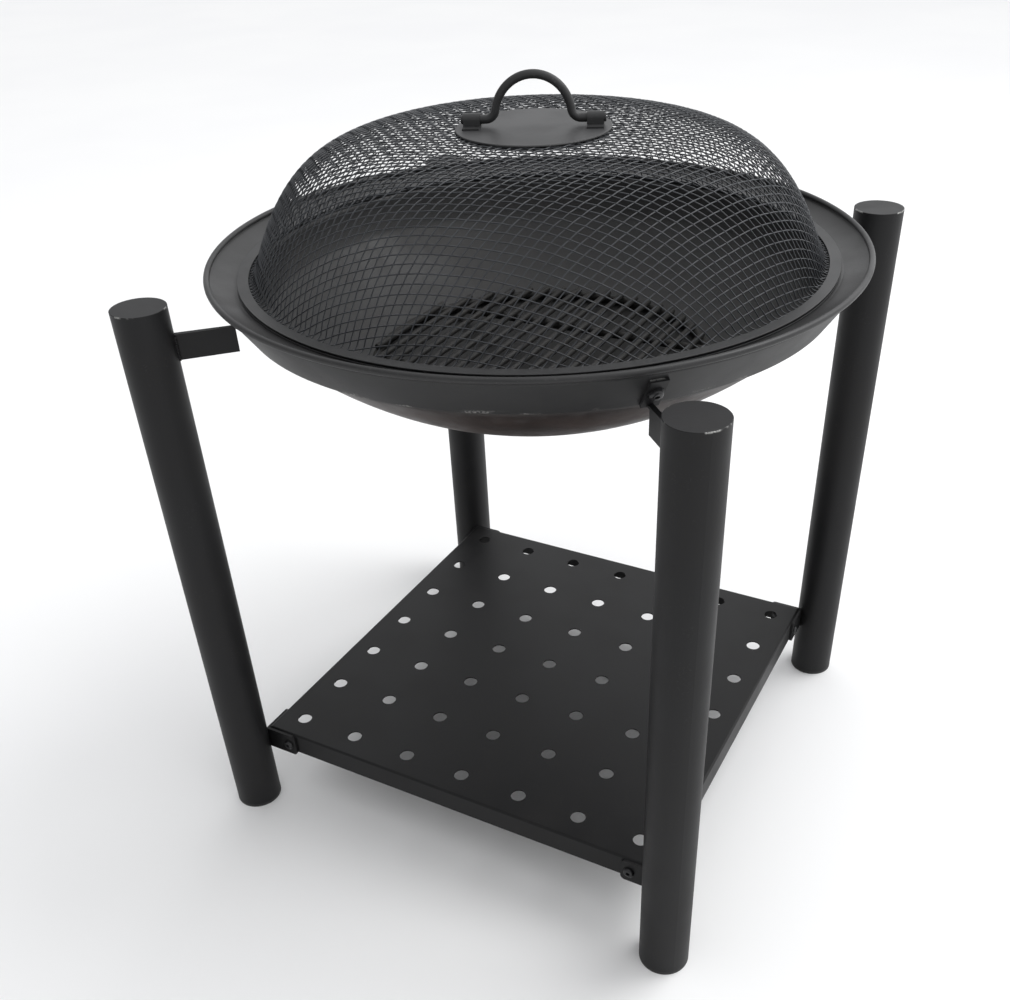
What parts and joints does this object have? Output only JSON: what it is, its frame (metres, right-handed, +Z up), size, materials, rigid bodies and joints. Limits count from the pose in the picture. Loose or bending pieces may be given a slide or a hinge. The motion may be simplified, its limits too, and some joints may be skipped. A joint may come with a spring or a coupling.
{
  "type": "fire pit with grate",
  "caption": "Round steel fire pit on tube legs with a lift-out fire grate, a mesh spark lid with a folding handle and a perforated firewood shelf.",
  "frame": {"origin": "on the floor under the centre of the bowl, in the middle of the four feet", "axes": "+Z up along the bowl's axis, X and Y along the sides of the square shelf, -Y towards the front"},
  "size_m": [0.618, 0.618, 0.7598],
  "materials": {
    "frame_paint": "matt black powder coat",
    "bowl_paint": "heat-resistant matt black paint",
    "shelf_paint": "matt black powder coat",
    "lid_paint": "heat-resistant satin black paint",
    "mesh_wire": "black coated steel wire",
    "grate_rod": "black painted steel rod",
    "black_fastener": "black oxide steel",
    "foot_plastic": "black moulded plastic"
  },
  "bodies": {
    "frame": {"apron_ring": "bowl_paint", "bowl": "bowl_paint", "bowl_bracket_back_left": "frame_paint", "bowl_bracket_back_right": "frame_paint", "bowl_bracket_front_left": "frame_paint", "bowl_bracket_front_right": "frame_paint", "bowl_nuts": "black_fastener", "bowl_screws": "black_fastener", "bowl_washers": "black_fastener", "foot_back_left": "foot_plastic", "foot_back_right": "foot_plastic", "foot_front_left": "foot_plastic", "foot_front_right": "foot_plastic", "leg_back_left": "frame_paint", "leg_back_right": "frame_paint", "leg_cap_back_left": "frame_paint", "leg_cap_back_right": "frame_paint", "leg_cap_front_left": "frame_paint", "leg_cap_front_right": "frame_paint", "leg_front_left": "frame_paint", "leg_front_right": "frame_paint", "shelf_bracket_back_left": "shelf_paint", "shelf_bracket_back_right": "shelf_paint", "shelf_bracket_front_left": "shelf_paint", "shelf_bracket_front_right": "shelf_paint", "shelf_nuts": "black_fastener", "shelf_screws": "black_fastener", "storage_shelf": "shelf_paint"},
    "lid": {"handle_clip_left": "lid_paint", "handle_clip_right": "lid_paint", "lid_clamp_ring": "lid_paint", "lid_inner_plate": "lid_paint", "lid_ring": "lid_paint", "lid_top_plate": "lid_paint", "spark_mesh": "mesh_wire"},
    "handle": {"lid_handle": "lid_paint"},
    "grate": {"grate_bars": "grate_rod", "grate_cross_bars": "grate_rod", "grate_ring": "grate_rod"}
  },
  "joints": [
    {"name": "lid_lift", "type": "slide", "parent": "frame", "child": "lid", "axis": [0, 0, 1], "range_m": [0, 0.3]},
    {"name": "handle_fold", "type": "hinge", "parent": "lid", "child": "handle", "pos_m": [0, 0, 0.72], "axis": [0.9135, 0.4067, 0], "range_deg": [-93, 93]},
    {"name": "grate_lift", "type": "slide", "parent": "frame", "child": "grate", "axis": [0, 0, 1], "range_m": [0, 0.13]}
  ]
}
